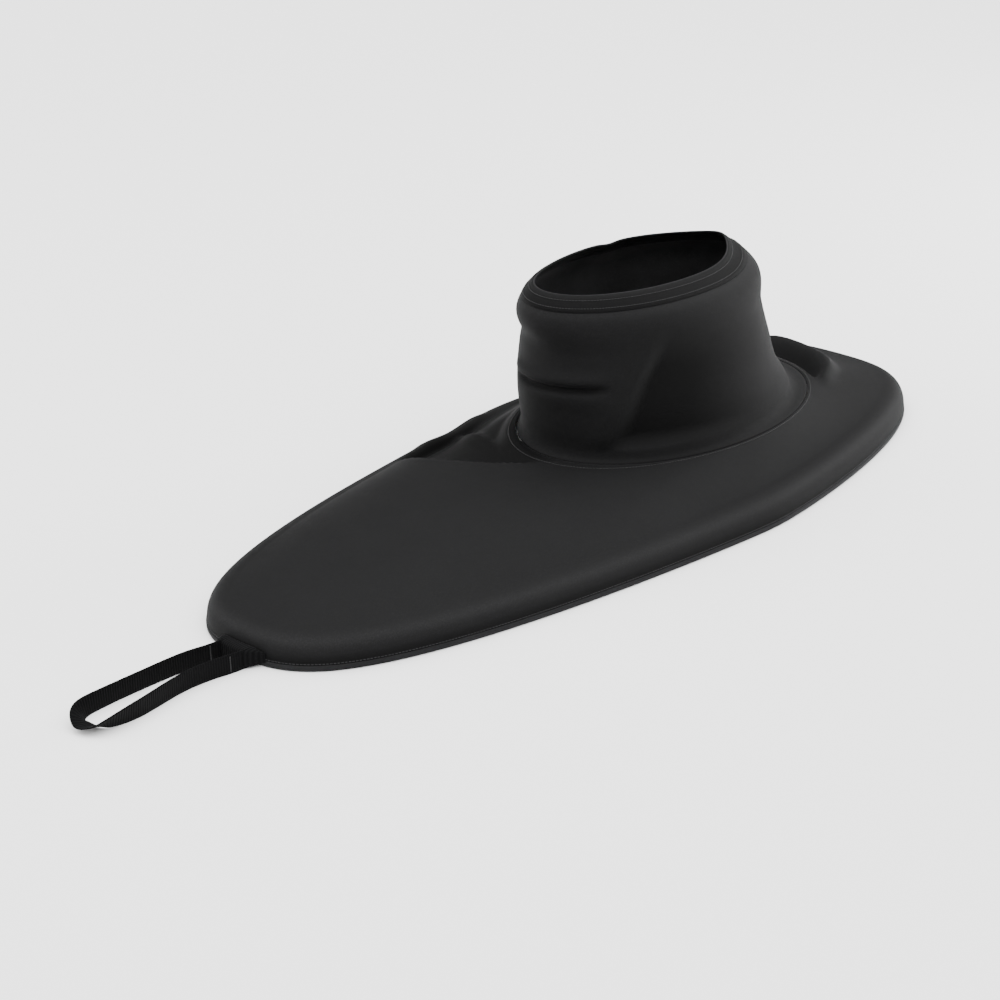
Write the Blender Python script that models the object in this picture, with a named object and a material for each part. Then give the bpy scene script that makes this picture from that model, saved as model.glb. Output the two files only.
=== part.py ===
"""Kayak spray skirt: neoprene deck with a standing waist tunnel, an elastic rim hem and a webbing grab loop.

Metres, +X towards the stern, +Y to port, +Z up. The origin is on the floor at the middle of the overall
length. The skirt lies on its rim hem as it does on a cockpit, bow and grab loop towards -X.
"""
import bmesh
import bpy
import numpy as np

# overall plan of the deck
NOSE_X = -0.779
TAIL_X = 1.125
WIDEST_X = 0.305
DECK_WIDTH = 0.775
FRONT_LENGTH_POWER = 1.770
FRONT_WIDTH_POWER = 0.675
REAR_LENGTH_POWER = 1.348
REAR_WIDTH_POWER = 0.593
OUTLINE_SMOOTHING = 0.035
SIDES = 72

# neoprene sheet and sewing
SHEET = 0.0035
SEWN_GAP = 0.0005
THREAD_WIDTH = 0.0024
THREAD_HEIGHT = 0.0012
TAPE_THICKNESS = 0.0012

# rim
SHOULDER_INSET = 0.060
SHOULDER_Z = 0.0580
RIM_SEAM_Z = 0.0370
BAND_BOTTOM_Z = 0.0128
HEM_WALL = 0.0030
HEM_DEPTH = 0.0175
HEM_HEIGHT = 0.0160
CORD_INSET = 0.0090
CORD_Z = 0.0092
CORD_RADIUS = 0.0040
SLEEVE_HOLE_RADIUS = 0.0044
SLEEVE_RADIUS = 0.0052
SLEEVE_LENGTH = 0.026

# waist tunnel: height, centre along X, half length, half width of the oval at that height
TUNNEL_OVALS = np.array([
    (0.120, 0.430, 0.385, 0.249),
    (0.126, 0.430, 0.385, 0.249),
    (0.160, 0.395, 0.352, 0.236),
    (0.210, 0.373, 0.330, 0.227),
    (0.280, 0.357, 0.325, 0.212),
    (0.350, 0.348, 0.315, 0.200),
    (0.425, 0.337, 0.325, 0.183),
    (0.447, 0.324, 0.302, 0.160),
    (0.464, 0.316, 0.288, 0.146),
    (0.470, 0.315, 0.285, 0.143),
])
SEAM_Z = 0.126
SEAM_GAP = 0.0030
COLLAR_TOP_Z = 0.195
PANEL_BOTTOM_Z = 0.185
PANEL_NEST = 0.010
PANEL_MERGE_Z = 0.235
PANEL_TOP_Z = 0.443
HEM_BAND_TOP_Z = 0.466
PANEL_SEAM_ANGLE = 0.003
SEAM_TAPE_ANGLE = 0.050

# grab loop: centre line of the webbing on the floor, from the port end to the starboard end
LOOP_LINE = np.array([
    (-0.806, 0.018), (-0.830, 0.020), (-0.885, 0.027), (-0.970, 0.029), (-1.050, 0.028),
    (-1.090, 0.022), (-1.113, 0.008), (-1.1238, -0.012), (-1.118, -0.032), (-1.096, -0.043),
    (-1.026, -0.042), (-0.929, -0.032), (-0.860, -0.040), (-0.830, -0.047), (-0.806, -0.052),
])
WEBBING_THICKNESS = 0.0024
WEBBING_WIDTH = 0.038
WEBBING_MIDDLE_Z = 0.019
LOOP_ROOT_HEIGHT = 0.008
LOOP_TAPER = 0.024
ANCHOR_Y = (-0.072, 0.036)
ANCHOR_NOSE_HEIGHT = 0.034
ANCHOR_CLEARANCE = SEWN_GAP + THREAD_HEIGHT + 0.0013
ANCHOR_TIP_X = -0.8035
ANCHOR_TIP_HEIGHT = 0.006
TACK_LENGTH = 0.004


def clear_scene():
    """Start from an empty file."""
    for obj in list(bpy.data.objects):
        bpy.data.objects.remove(obj, do_unlink=True)


def material(name, colour, roughness):
    """A plain Principled material."""
    mat = bpy.data.materials.new(name)
    mat.use_nodes = True
    shader = mat.node_tree.nodes["Principled BSDF"]
    shader.inputs["Base Color"].default_value = (*colour, 1.0)
    shader.inputs["Roughness"].default_value = roughness
    return mat


def add_node(name, points, faces, colour, roughness):
    """Put one closed mesh into the scene, with its own material and its faces outwards."""
    mesh = bpy.data.meshes.new(name)
    mesh.from_pydata([tuple(p) for p in points.tolist()], [], faces)
    shell = bmesh.new()
    shell.from_mesh(mesh)
    bmesh.ops.recalc_face_normals(shell, faces=shell.faces)
    shell.to_mesh(mesh)
    shell.free()
    mesh.materials.append(material(name + "_finish", colour, roughness))
    obj = bpy.data.objects.new(name, mesh)
    bpy.context.collection.objects.link(obj)
    return obj


NEOPRENE = ((0.020, 0.020, 0.021), 0.85)
BINDING = ((0.045, 0.045, 0.047), 0.80)
THREAD = ((0.070, 0.070, 0.074), 0.75)
RUBBER = ((0.030, 0.030, 0.032), 0.60)
WEBBING = ((0.018, 0.018, 0.019), 0.90)
TAPE = ((0.025, 0.025, 0.026), 0.80)


def swept_ring(name, rings, finish):
    """A closed ring: rings[k] is the k-th corner of its section, at every station around the loop."""
    points = np.stack(rings)
    corners, count = points.shape[:2]
    faces = []
    for k in range(corners):
        nxt = (k + 1) % corners
        for i in range(count):
            j = (i + 1) % count
            faces.append((k * count + i, k * count + j, nxt * count + j, nxt * count + i))
    return add_node(name, points.reshape(-1, 3), faces, *finish)


def swept_strip(name, rings, finish):
    """An open strip, from section corners that run along one face and come back along the other.

    Each end is closed by a row of quads between the two faces.
    """
    points = np.stack(rings)
    corners, count = points.shape[:2]
    faces = []
    for k in range(corners):
        nxt = (k + 1) % corners
        for i in range(count - 1):
            faces.append((k * count + i, k * count + i + 1, nxt * count + i + 1, nxt * count + i))
    for k in range(corners // 2 - 1):
        across = (k, k + 1, corners - 2 - k, corners - 1 - k)
        faces.append(tuple(corner * count for corner in across))
        faces.append(tuple((corner + 1) * count - 1 for corner in across[::-1]))
    return add_node(name, points.reshape(-1, 3), faces, *finish)


def deck_outline():
    """Plan of the rim: two half superellipses that meet at the widest place, evened out along their length."""
    s = np.linspace(0.0, np.pi / 2, 400)
    front_x = WIDEST_X - (WIDEST_X - NOSE_X) * np.cos(s) ** FRONT_LENGTH_POWER
    front_w = DECK_WIDTH / 2 * np.sin(s) ** FRONT_WIDTH_POWER
    rear_x = WIDEST_X + (TAIL_X - WIDEST_X) * np.sin(s) ** REAR_LENGTH_POWER
    rear_w = DECK_WIDTH / 2 * np.cos(s) ** REAR_WIDTH_POWER
    half_x = np.concatenate([rear_x[::-1], front_x[::-1][1:]])
    half_w = np.concatenate([rear_w[::-1], front_w[::-1][1:]])
    x = np.concatenate([half_x, half_x[::-1][1:]])
    y = np.concatenate([half_w, -half_w[::-1][1:]])
    run = np.concatenate([[0.0], np.cumsum(np.hypot(np.diff(x), np.diff(y)))])
    total = run[-1]
    fine = 1440
    even = np.arange(fine) * total / fine
    x = np.interp(even, run, x)
    y = np.interp(even, run, y)
    wave = np.fft.fftfreq(fine, total / fine)
    soften = np.exp(-2.0 * (np.pi * wave * OUTLINE_SMOOTHING) ** 2)
    x = np.fft.ifft(np.fft.fft(x) * soften).real
    y = np.fft.ifft(np.fft.fft(y) * soften).real
    step = fine // SIDES
    x = x[step // 2::step]
    y = y[step // 2::step]
    x = NOSE_X + (x - x.min()) * (TAIL_X - NOSE_X) / (x.max() - x.min())
    y = y * DECK_WIDTH / 2 / np.abs(y).max()
    return x, y


def inward_normals(x, y):
    """Unit vectors that point in from the outline at each of its corners."""
    tx = np.roll(x, -1) - np.roll(x, 1)
    ty = np.roll(y, -1) - np.roll(y, 1)
    size = np.hypot(tx, ty)
    return -ty / size, tx / size


RIM_X, RIM_Y = deck_outline()
IN_X, IN_Y = inward_normals(RIM_X, RIM_Y)
ALONG = np.where(RIM_X < WIDEST_X, WIDEST_X - NOSE_X, TAIL_X - WIDEST_X)
RING_ANGLE = np.unwrap(np.arctan2(RIM_Y / (DECK_WIDTH / 2), (RIM_X - WIDEST_X) / ALONG))


def rim_ring(inset, z):
    """The rim outline moved in by inset, at height z."""
    return np.stack([RIM_X + inset * IN_X, RIM_Y + inset * IN_Y, np.full(SIDES, z)], axis=1)


def tunnel_oval(z, angle, outset=0.0):
    """A point of the tunnel's outer face: the oval at height z, moved out by outset."""
    cx = np.interp(z, TUNNEL_OVALS[:, 0], TUNNEL_OVALS[:, 1])
    ra = np.interp(z, TUNNEL_OVALS[:, 0], TUNNEL_OVALS[:, 2]) + outset
    rb = np.interp(z, TUNNEL_OVALS[:, 0], TUNNEL_OVALS[:, 3]) + outset
    flat = np.broadcast_to(z, np.shape(angle))
    return np.stack([cx + ra * np.cos(angle), rb * np.sin(angle), flat], axis=1)


def deck_ring(share, lift=0.0):
    """The deck between the tunnel seam (share 0) and the rim shoulder (share 1).

    Straight in plan. The height falls from the seam as a quarter sine wave, so it is flat at the seam.
    """
    inner = tunnel_oval(SEAM_Z, RING_ANGLE, SEAM_GAP)
    outer = rim_ring(SHOULDER_INSET, 0.0)
    ring = inner + (outer - inner) * share
    ring[:, 2] = SHOULDER_Z + (SEAM_Z - SHOULDER_Z) * np.sin(np.pi / 2 * (1.0 - share)) + lift
    return ring


DECK_SHARES = (0.0, 0.12, 0.35, 0.60, 0.82, 1.0)


def deck_level(share, lift):
    """A deck ring that lies exactly on the flat facets between the deck's own rings."""
    k = int(np.searchsorted(DECK_SHARES, share, side="right")) - 1
    k = min(k, len(DECK_SHARES) - 2)
    part = (share - DECK_SHARES[k]) / (DECK_SHARES[k + 1] - DECK_SHARES[k])
    return deck_ring(DECK_SHARES[k], lift) * (1.0 - part) + deck_ring(DECK_SHARES[k + 1], lift) * part


def build_deck():
    """Neoprene deck from the tunnel seam to the turned-down rim shoulder."""
    top = [deck_ring(share) for share in DECK_SHARES]
    top += [rim_ring(0.030, 0.0545), rim_ring(0.012, 0.0520), rim_ring(0.004, 0.0465), rim_ring(0.0, RIM_SEAM_Z)]
    under = [rim_ring(SHEET, RIM_SEAM_Z), rim_ring(0.0070, 0.0440), rim_ring(0.0140, 0.0485), rim_ring(0.030, 0.0510)]
    under += [deck_ring(share, -SHEET) for share in DECK_SHARES[::-1]]
    swept_ring("deck_panel", top + under, NEOPRENE)


def build_rim():
    """Side band, folded hem, the elastic cord in it, the cord's sleeve and the row of stitches above."""
    top = RIM_SEAM_Z - SEWN_GAP
    band = [rim_ring(0.0, BAND_BOTTOM_Z), rim_ring(0.0, top), rim_ring(SHEET, top), rim_ring(SHEET, BAND_BOTTOM_Z)]
    swept_ring("rim_side_band", band, NEOPRENE)
    inner = HEM_DEPTH - HEM_WALL
    lip = BAND_BOTTOM_Z - SEWN_GAP
    hem = [rim_ring(0.0, 0.0), rim_ring(0.0, lip), rim_ring(HEM_WALL, lip), rim_ring(HEM_WALL, HEM_WALL),
           rim_ring(inner, HEM_WALL), rim_ring(inner, HEM_HEIGHT), rim_ring(HEM_DEPTH, HEM_HEIGHT),
           rim_ring(HEM_DEPTH, 0.0)]
    swept_ring("rim_hem_fold", hem, BINDING)
    turn = np.arange(6) * np.pi / 3
    cord = [rim_ring(CORD_INSET - CORD_RADIUS * np.cos(a), CORD_Z + CORD_RADIUS * np.sin(a)) for a in turn]
    swept_ring("rim_elastic_cord", cord, RUBBER)
    build_sleeve()
    low = RIM_SEAM_Z - 0.0060
    out = -SEWN_GAP
    row = [rim_ring(out - THREAD_HEIGHT, low), rim_ring(out - THREAD_HEIGHT, low + THREAD_WIDTH),
           rim_ring(out, low + THREAD_WIDTH), rim_ring(out, low)]
    swept_ring("rim_seam_stitch", row, THREAD)


def build_sleeve():
    """Crimped tube that joins the two ends of the elastic cord, at the stern."""
    x = RIM_X.max() - CORD_INSET
    turn = np.arange(12) * np.pi / 6
    ends = np.array([-SLEEVE_LENGTH / 2, SLEEVE_LENGTH / 2])
    rings = []
    for radius, order in ((SLEEVE_RADIUS, ends), (SLEEVE_HOLE_RADIUS, ends[::-1])):
        for y in order:
            rings.append(np.stack([x + radius * np.cos(turn), np.full(12, y), CORD_Z - radius * np.sin(turn)], axis=1))
    swept_ring("rim_cord_sleeve", rings, RUBBER)


def build_seam():
    """Tape under the tunnel seam and the row of stitches beside it on the deck."""
    inner = tunnel_oval(SEAM_Z, RING_ANGLE, -0.012)
    inner[:, 2] = SEAM_Z
    middle = deck_ring(0.0)
    outer = deck_level(0.10, 0.0)
    above = SHEET + SEWN_GAP
    rings = []
    for ring in (inner, middle, outer):
        rings.append(ring - (0.0, 0.0, above + TAPE_THICKNESS))
    for ring in (outer, middle, inner):
        rings.append(ring - (0.0, 0.0, above))
    swept_ring("deck_seam_tape", rings, TAPE)
    row = [deck_level(0.035, SEWN_GAP), deck_level(0.060, SEWN_GAP),
           deck_level(0.060, SEWN_GAP + THREAD_HEIGHT), deck_level(0.035, SEWN_GAP + THREAD_HEIGHT)]
    swept_ring("deck_seam_stitch", row, THREAD)


def wall_rings(levels, outsets, angle, thickness=SHEET):
    """Section corners of an upright wall: its outer face upwards, then its inner face downwards."""
    outer = [tunnel_oval(z, angle, out) for z, out in zip(levels, outsets)]
    inner = [tunnel_oval(z, angle, out - thickness) for z, out in zip(levels[::-1], outsets[::-1])]
    return outer + inner


def build_tunnel():
    """Collar sewn to the deck, two wall panels, their seam tapes, the folded hem, its binding and stitches."""
    circle = np.arange(SIDES) * 2 * np.pi / SIDES
    collar_levels = [SEAM_Z - SHEET, 0.143, 0.160, 0.178, COLLAR_TOP_Z]
    swept_ring("tunnel_collar", wall_rings(collar_levels, [0.0] * 5, circle), NEOPRENE)

    levels = [PANEL_BOTTOM_Z, 0.210, PANEL_MERGE_Z, 0.280, 0.315, 0.350, 0.388, 0.425, PANEL_TOP_Z]
    nest = [-PANEL_NEST * max(0.0, (PANEL_MERGE_Z - z) / (PANEL_MERGE_Z - PANEL_BOTTOM_Z)) for z in levels]
    port = np.linspace(PANEL_SEAM_ANGLE, np.pi - PANEL_SEAM_ANGLE, SIDES // 2 + 1)
    swept_strip("tunnel_port_panel", wall_rings(levels, nest, port), NEOPRENE)
    swept_strip("tunnel_starboard_panel", wall_rings(levels, nest, port + np.pi), NEOPRENE)

    behind = [out - SHEET - 0.0010 for out in nest]
    for name, middle in (("tunnel_rear_seam_tape", 0.0), ("tunnel_front_seam_tape", np.pi)):
        spread = middle + np.linspace(-SEAM_TAPE_ANGLE, SEAM_TAPE_ANGLE, 3)
        swept_strip(name, wall_rings(levels, behind, spread, TAPE_THICKNESS), TAPE)

    bottom = PANEL_TOP_Z + SEWN_GAP
    bends = TUNNEL_OVALS[:, 0]
    hem_levels = [bottom, *bends[(bends > bottom) & (bends < HEM_BAND_TOP_Z)].tolist(), HEM_BAND_TOP_Z]
    swept_ring("tunnel_hem_band", wall_rings(hem_levels, [0.0] * len(hem_levels), circle, 2 * SHEET), NEOPRENE)
    binding = [tunnel_oval(HEM_BAND_TOP_Z, circle, out) for out in (-0.001, -0.001, -0.006, -0.006)]
    rise = (SEWN_GAP, 0.0040, 0.0040, SEWN_GAP)
    swept_ring("tunnel_rim_binding", [ring + (0.0, 0.0, up) for ring, up in zip(binding, rise)], BINDING)
    for name, z in (("hem_stitch_lower", bottom + 0.0050), ("hem_stitch_upper", HEM_BAND_TOP_Z - 0.0045)):
        corners = [(z, 0.0008), (z + 0.0015, 0.0008), (z + 0.0015, 0.0020), (z, 0.0020)]
        rings = [tunnel_oval(height, circle, out) for height, out in corners]
        swept_ring(name, rings, THREAD)


def loop_line():
    """The webbing's centre line, rounded with a spline through its points, and its sideways normals."""
    points = LOOP_LINE
    ends = np.vstack([2 * points[0] - points[1], points, 2 * points[-1] - points[-2]])
    t = np.linspace(0.0, 1.0, 4, endpoint=False)[:, None]
    pieces = []
    for i in range(1, len(ends) - 2):
        a, b, c, d = ends[i - 1], ends[i], ends[i + 1], ends[i + 2]
        pieces.append(0.5 * (2 * b + (c - a) * t + (2 * a - 5 * b + 4 * c - d) * t ** 2
                             + (3 * b - a - 3 * c + d) * t ** 3))
    line = np.vstack(pieces + [points[-1:]])
    along = np.gradient(line, axis=0)
    along /= np.linalg.norm(along, axis=1)[:, None]
    return line, np.stack([-along[:, 1], along[:, 0]], axis=1)


def build_loop():
    """One length of webbing on its edge, folded round at the tip, with its bar tacks."""
    line, side = loop_line()
    reach = line[:, 0].max() - line[:, 0]
    height = np.clip(reach / LOOP_TAPER, 0.0, 1.0)
    height = LOOP_ROOT_HEIGHT + (WEBBING_WIDTH - LOOP_ROOT_HEIGHT) * height

    def corner(out, up, first=0, last=None, share=1.0):
        flat = line[first:last] + side[first:last] * out
        return np.column_stack([flat, WEBBING_MIDDLE_Z + up * share * height[first:last]])

    half = WEBBING_THICKNESS / 2
    section = [corner(-half, -0.5), corner(-half, 0.5), corner(half, 0.5), corner(half, -0.5)]
    swept_strip("grab_webbing", section, WEBBING)
    near = half + SEWN_GAP
    far = near + THREAD_HEIGHT
    middle = len(line) // 2
    for name, first in (("loop_bar_tack_port", 5), ("loop_tip_tack", middle - 1), ("loop_bar_tack_starboard", len(line) - 8)):
        last = first + 2
        tack = [corner(-far, -0.5, first, last, 0.8), corner(-far, 0.5, first, last, 0.8),
                corner(-near, 0.5, first, last, 0.8), corner(-near, -0.5, first, last, 0.8)]
        swept_strip(name, tack, THREAD)


def build_anchor():
    """Wedge of folded webbing sewn to the nose, its bar tack, and the patch inside the deck behind it."""
    y = np.linspace(ANCHOR_Y[0], ANCHOR_Y[1], 7)
    front = RIM_X < WIDEST_X - 0.5
    order = np.argsort(RIM_Y[front])
    nose = np.interp(y, RIM_Y[front][order], RIM_X[front][order]) - ANCHOR_CLEARANCE

    def edge(x, z):
        return np.column_stack([np.broadcast_to(x, y.shape), y, np.full(y.shape, z)])

    tall = ANCHOR_NOSE_HEIGHT / 2
    thin = ANCHOR_TIP_HEIGHT / 2
    middle = WEBBING_MIDDLE_Z
    wedge = [edge(nose, middle - tall), edge(nose, middle + tall), edge(nose - 0.004, middle + tall),
             edge(ANCHOR_TIP_X, middle + thin), edge(ANCHOR_TIP_X, middle - thin), edge(nose - 0.004, middle - tall)]
    swept_strip("strap_anchor", wedge, WEBBING)

    nose_side = np.where((np.abs(RIM_Y) < 0.16) & front)[0]
    patch = []
    for share, drop in ((0.84, SHEET + 0.0010), (0.98, SHEET + 0.0010), (0.98, SHEET + 0.0030), (0.84, SHEET + 0.0030)):
        patch.append(deck_level(share, -drop)[nose_side])
    swept_strip("nose_reinforcement", patch, NEOPRENE)


def main():
    """Build every piece of the skirt."""
    clear_scene()
    build_deck()
    build_rim()
    build_seam()
    build_tunnel()
    build_loop()
    build_anchor()


main()
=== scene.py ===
"""A kayak spray skirt in black neoprene: deck, standing waist tunnel, elastic rim hem and webbing grab loop.

Metres, +X to the stern, +Y to port, +Z up, as in the frame. Every cloth is a function of two parameters on a
grid: one runs round the piece, the other across it.
"""

import math

import bpy
import numpy as np
from mathutils import Matrix, Vector


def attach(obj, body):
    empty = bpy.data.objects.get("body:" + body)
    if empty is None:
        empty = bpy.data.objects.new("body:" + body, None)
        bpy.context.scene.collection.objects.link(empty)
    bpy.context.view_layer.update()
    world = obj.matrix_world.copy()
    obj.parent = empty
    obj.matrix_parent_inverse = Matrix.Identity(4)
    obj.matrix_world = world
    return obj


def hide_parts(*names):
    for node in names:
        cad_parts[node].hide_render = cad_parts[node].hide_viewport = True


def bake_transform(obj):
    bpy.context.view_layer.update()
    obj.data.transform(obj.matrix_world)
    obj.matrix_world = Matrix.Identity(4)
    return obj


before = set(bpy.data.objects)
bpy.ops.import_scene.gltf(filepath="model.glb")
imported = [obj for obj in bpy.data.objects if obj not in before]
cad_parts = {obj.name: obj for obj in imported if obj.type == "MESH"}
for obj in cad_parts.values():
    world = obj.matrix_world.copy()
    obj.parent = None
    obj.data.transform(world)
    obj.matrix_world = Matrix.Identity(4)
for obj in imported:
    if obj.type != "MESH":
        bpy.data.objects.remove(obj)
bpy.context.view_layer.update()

# the cut of the skirt, in metres, as in the frame's own solids
NOSE_X = -0.779
TAIL_X = 1.125
WIDEST_X = 0.305
HALF_WIDTH = 0.3875
SHEET = 0.0035
SEAM_Z = 0.126
SHOULDER_INSET = 0.046
SHOULDER_Z = 0.0670
BAND_TOP_Z = 0.0145
HEM_TOP_Z = 0.0125
WALL_TOP_Z = 0.4432
FOOT_TUCK = 0.0032

# the tunnel's ovals: height, centre along X, half length, half width, how pointed its stern end is
OVALS = np.array([
    (0.120, 0.4300, 0.3850, 0.2490, 0.00),
    (0.126, 0.4300, 0.3850, 0.2490, 0.00),
    (0.132, 0.4185, 0.3685, 0.2415, 0.00),
    (0.142, 0.4075, 0.3545, 0.2355, 0.00),
    (0.160, 0.3985, 0.3465, 0.2320, 0.00),
    (0.180, 0.3890, 0.3410, 0.2300, 0.00),
    (0.210, 0.3730, 0.3300, 0.2270, 0.00),
    (0.280, 0.3570, 0.3250, 0.2120, 0.05),
    (0.350, 0.3480, 0.3150, 0.2000, 0.12),
    (0.420, 0.3375, 0.3245, 0.1840, 0.22),
    (0.444, 0.3280, 0.3070, 0.1660, 0.32),
    (0.464, 0.3200, 0.2840, 0.1460, 0.50),
    (0.472, 0.3200, 0.2800, 0.1420, 0.50),
])

# the tunnel's hollow: where its edge is, in degrees from the stern, and how it leans, in degrees per metre
HOLLOW_EDGE = 213
HOLLOW_LEAN = 125

# rows across the deck: over the shoulder, and down the upright band
SHOULDER_ROWS = 16
BAND_ROWS = 3
# the most worn row, counted from the hem, and the rows that the seam tape and the nose patch lie under
WORN_ROW = 12
TAPE_ROWS = slice(1, 6)
PATCH_ROWS = slice(52, 64)

# tones of the cloth and thread, linear
NEOPRENE = (0.0054, 0.0054, 0.0056)
LINING = (0.014, 0.014, 0.0145)
BINDING = (0.010, 0.010, 0.0105)
THREAD = (0.013, 0.013, 0.0135)
WEBBING = (0.0026, 0.0026, 0.0028)
RUBBER = (0.030, 0.030, 0.032)
TAPE = (0.012, 0.012, 0.012)
HEM = (0.0020, 0.0020, 0.0021)
DARK_THREAD = (0.016, 0.016, 0.017)


def smooth(x):
    """0 below 0, 1 above 1, and 3x^2 - 2x^3 between."""
    x = np.clip(x, 0.0, 1.0)
    return x * x * (3.0 - 2.0 * x)


def bell(x):
    """A bell curve of height 1 at 0: e to the minus x squared."""
    return np.exp(-np.square(x))


def through(knots, count):
    """Points along a Catmull-Rom spline through the knots, about evenly spaced in its parameter."""
    knots = np.asarray(knots, float)
    ends = np.vstack([2 * knots[0] - knots[1], knots, 2 * knots[-1] - knots[-2]])
    at = np.linspace(0.0, len(knots) - 1.0 - 1e-9, count)
    i = at.astype(int)
    t = (at - i)[:, None]
    a, b, c, d = ends[i], ends[i + 1], ends[i + 2], ends[i + 3]
    return 0.5 * (2 * b + (c - a) * t + (2 * a - 5 * b + 4 * c - d) * t ** 2
                  + (3 * b - a - 3 * c + d) * t ** 3)


def oval_values(z):
    """The oval's centre, half length, half width and point at each height, smoothly through the table."""
    k = np.clip(np.searchsorted(OVALS[:, 0], z, side="right") - 1, 0, len(OVALS) - 2)
    slopes = np.gradient(OVALS[:, 1:], OVALS[:, 0], axis=0)
    low, high = OVALS[k], OVALS[k + 1]
    gap = (high[..., 0] - low[..., 0])[..., None]
    t = (np.asarray(z) - low[..., 0])[..., None] / gap
    rise = (high[..., 1:] - low[..., 1:])
    return (low[..., 1:] + rise * t ** 2 * (3 - 2 * t)
            + gap * (slopes[k] * (t ** 3 - 2 * t ** 2 + t) + slopes[k + 1] * (t ** 3 - t ** 2)))


# ---------------------------------------------------------------- the rim's outline

STATIONS = 480
RIM_SOFTENING = 0.035


def rim_outline(count):
    """Plan of the rim, evenly spaced: two half superellipses that meet at the widest place, softened."""
    s = np.linspace(0.0, np.pi / 2, 600)
    front_x = WIDEST_X - (WIDEST_X - NOSE_X) * np.cos(s) ** 1.770
    front_w = HALF_WIDTH * np.sin(s) ** 0.675
    rear_x = WIDEST_X + (TAIL_X - WIDEST_X) * np.sin(s) ** 1.348
    rear_w = HALF_WIDTH * np.cos(s) ** 0.593
    half_x = np.concatenate([rear_x[::-1], front_x[::-1][1:]])
    half_w = np.concatenate([rear_w[::-1], front_w[::-1][1:]])
    x = np.concatenate([half_x, half_x[::-1][1:]])
    y = np.concatenate([half_w, -half_w[::-1][1:]])
    run = np.concatenate([[0.0], np.cumsum(np.hypot(np.diff(x), np.diff(y)))])
    even = np.arange(4 * count) * run[-1] / (4 * count)
    x = np.interp(even, run, x)
    y = np.interp(even, run, y)
    soften = np.exp(-2.0 * (np.pi * np.fft.fftfreq(4 * count, even[1]) * RIM_SOFTENING) ** 2)
    x = np.fft.ifft(np.fft.fft(x) * soften).real[::4]
    y = np.fft.ifft(np.fft.fft(y) * soften).real[::4]
    x = NOSE_X + (x - x.min()) * (TAIL_X - NOSE_X) / (x.max() - x.min())
    return x, y * HALF_WIDTH / np.abs(y).max()


RIM_X, RIM_Y = rim_outline(STATIONS)
TURN_X = np.roll(RIM_X, -1) - np.roll(RIM_X, 1)
TURN_Y = np.roll(RIM_Y, -1) - np.roll(RIM_Y, 1)
TURN = np.hypot(TURN_X, TURN_Y)
IN_X = -TURN_Y / TURN
IN_Y = TURN_X / TURN
BEAM = np.where(RIM_X < WIDEST_X, WIDEST_X - NOSE_X, TAIL_X - WIDEST_X)
AROUND = np.unwrap(np.arctan2(RIM_Y / HALF_WIDTH, (RIM_X - WIDEST_X) / BEAM))


def rim_point(inset, z):
    """The rim's outline moved in by inset, at height z, for every station."""
    inset, z = np.broadcast_arrays(np.asarray(inset, float), np.asarray(z, float))
    inset, z = np.atleast_1d(inset)[:, None], np.atleast_1d(z)[:, None]
    return np.stack([RIM_X + inset * IN_X, RIM_Y + inset * IN_Y, z + 0.0 * RIM_X], axis=-1)


# ---------------------------------------------------------------- the deck

def hollow_height(z):
    """How strong the hollow is at a height, 0 to 1: none at the foot, and fading out below the hem."""
    return smooth((z - 0.146) / 0.034) * smooth((0.405 - z) / 0.13)


def hollow_edge(z):
    """The angle of the hollow's sharp edge, in degrees: it leans aft as it rises."""
    return HOLLOW_EDGE + (z - 0.192) * HOLLOW_LEAN


def tunnel_hollow(angle, z):
    """The hollow low on the starboard bow, 0 to 1: a sharp leaning edge, fading out upwards and aft."""
    past = np.degrees(np.mod(angle, 2 * np.pi)) - hollow_edge(z)
    return hollow_height(z) * smooth(past / 10) * smooth((74 - past) / 62)


def crease_height(degrees):
    """The height of the port bow's short crease, which rises a little from bow to port."""
    return 0.270 + 0.012 * (degrees - 150) / 62


def crease_line(angle, z):
    """The short crease on the port bow, 0 to 1, as a narrow bell across its line."""
    a = np.degrees(np.mod(angle, 2 * np.pi))
    return smooth((a - 148) / 14) * smooth((218 - a) / 14) * bell((z - crease_height(a)) / 0.0075)


def tunnel_folds(angle, z):
    """How far the wall stands out: crease and bulges on the port bow, the hollow low on the starboard side.

    Angle runs from the stern through port. Each fold is a bell curve across its line, faded out at its ends.
    """
    a = np.degrees(np.mod(angle, 2 * np.pi))
    above = z - crease_height(a) - 0.002
    ends = smooth((a - 143) / 14) * smooth((222 - a) / 16)
    out = -0.0110 * crease_line(angle, z)
    out += 0.0060 * ends * bell((above - 0.019) / 0.013)
    out += 0.0030 * ends * bell((above + 0.024) / 0.020)
    pinch = smooth((a - 108) / 26) * smooth((192 - a) / 26)
    out += -0.0045 * pinch * bell((z - 0.368) / 0.020)
    out += -0.024 * tunnel_hollow(angle, z)
    out += 0.0040 * bell((a - hollow_edge(z) + 3) / 6) * hollow_height(z)
    out += -0.006 * bell((a - 75) / 12) * bell((z - 0.430) / 0.045)
    return out * smooth((z - 0.128) / 0.030)


def rim_wave(angle):
    """The tunnel rim's small rise and fall: a pinch on the port side and a slow wave."""
    a = np.degrees(np.mod(angle, 2 * np.pi))
    return -0.0035 * bell((a - 76) / 5.0) + 0.0018 * np.cos(np.radians(2 * a - 30)) - 0.0010


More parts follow.
